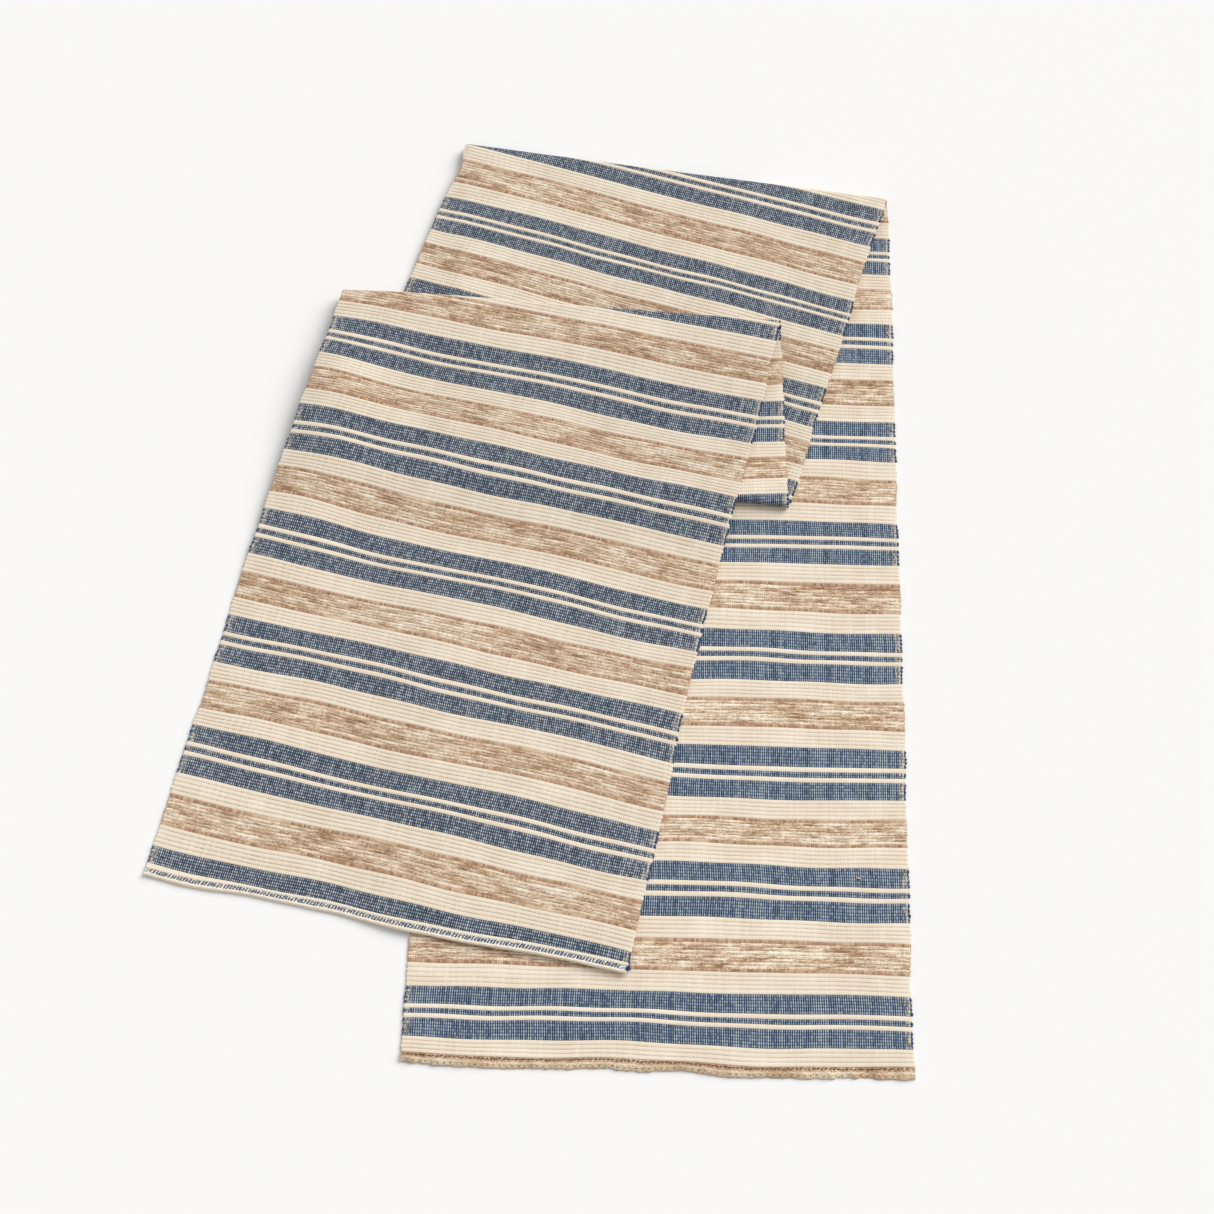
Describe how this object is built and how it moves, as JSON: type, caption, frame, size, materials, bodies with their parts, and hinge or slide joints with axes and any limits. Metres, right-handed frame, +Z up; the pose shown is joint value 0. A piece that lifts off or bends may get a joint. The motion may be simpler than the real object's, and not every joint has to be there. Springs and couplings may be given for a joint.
{
  "type": "folded table runner",
  "caption": "Long handwoven table runner with cross stripes in indigo, cream and tan, rolled hems at both ends, folded zigzag into four loose layers.",
  "frame": {"origin": "under the middle of the folded runner's box, on the surface that it lies on", "axes": "+Z up, +Y along the base layer from its hem towards the far fold, +X towards the base layer's right selvedge"},
  "size_m": [0.5656, 0.8256, 0.0162],
  "materials": {
    "indigo_weft": "matte handspun cotton weft, indigo dyed, over a pale warp",
    "cream_weft": "matte undyed cotton weft in plain weave with a cord rib",
    "tan_slub_weft": "uneven slub cotton weft, streaked tan, brown and cream",
    "brown_weft": "matte reddish brown cotton weft",
    "selvedge": "firm closely set warp with the weft loops turning round it",
    "fold_cloth": "the same striped cloth where it turns over",
    "hem_cloth": "cloth rolled twice and sewn, slightly puckered",
    "sewing_thread": "twisted cotton sewing thread",
    "knot_thread": "knotted indigo cotton thread"
  },
  "bodies": {
    "base_layer": {"base_indigo_bands": "indigo_weft", "base_pinstripes": "cream_weft", "base_cream_bands": "cream_weft", "base_tan_bands": "tan_slub_weft", "base_brown_lines": "brown_weft", "base_left_selvedge": "selvedge", "base_right_selvedge": "selvedge", "base_hem": "hem_cloth", "base_hem_stitches": "sewing_thread", "far_fold_turn": "fold_cloth"},
    "second_layer": {"second_indigo_bands": "indigo_weft", "second_pinstripes": "cream_weft", "second_cream_bands": "cream_weft", "second_tan_bands": "tan_slub_weft", "second_brown_lines": "brown_weft", "second_left_selvedge": "selvedge", "second_right_selvedge": "selvedge", "near_fold_turn": "fold_cloth"},
    "third_layer": {"third_indigo_bands": "indigo_weft", "third_pinstripes": "cream_weft", "third_cream_bands": "cream_weft", "third_tan_bands": "tan_slub_weft", "third_brown_lines": "brown_weft", "third_left_selvedge": "selvedge", "third_right_selvedge": "selvedge", "upper_fold_turn": "fold_cloth"},
    "top_layer": {"top_indigo_bands": "indigo_weft", "top_pinstripes": "cream_weft", "top_cream_bands": "cream_weft", "top_tan_bands": "tan_slub_weft", "top_brown_lines": "brown_weft", "top_left_selvedge": "selvedge", "top_right_selvedge": "selvedge", "top_hem": "hem_cloth", "top_hem_stitches": "sewing_thread", "top_corner_knot": "knot_thread"}
  },
  "joints": [
    {"name": "far_fold", "type": "hinge", "parent": "base_layer", "child": "second_layer", "pos_m": [0.1056, 0.38336, 0.0043], "axis": [-0.9864, 0.1642, 0], "range_deg": [0, 180], "deforming": ["far_fold_turn"]},
    {"name": "near_fold", "type": "hinge", "parent": "second_layer", "child": "third_layer", "pos_m": [0.01092, 0.07559, 0.00533], "axis": [0.9893, -0.1461, 0], "range_deg": [0, 180], "deforming": ["near_fold_turn"]},
    {"name": "upper_fold", "type": "hinge", "parent": "third_layer", "child": "top_layer", "pos_m": [0.01006, 0.23809, 0.01185], "axis": [-0.9943, 0.1063, 0], "range_deg": [0, 180], "deforming": ["upper_fold_turn"]}
  ],
  "couplings": [
    {"joint": "near_fold", "follows": "far_fold", "ratio": 1},
    {"joint": "upper_fold", "follows": "far_fold", "ratio": 1}
  ]
}
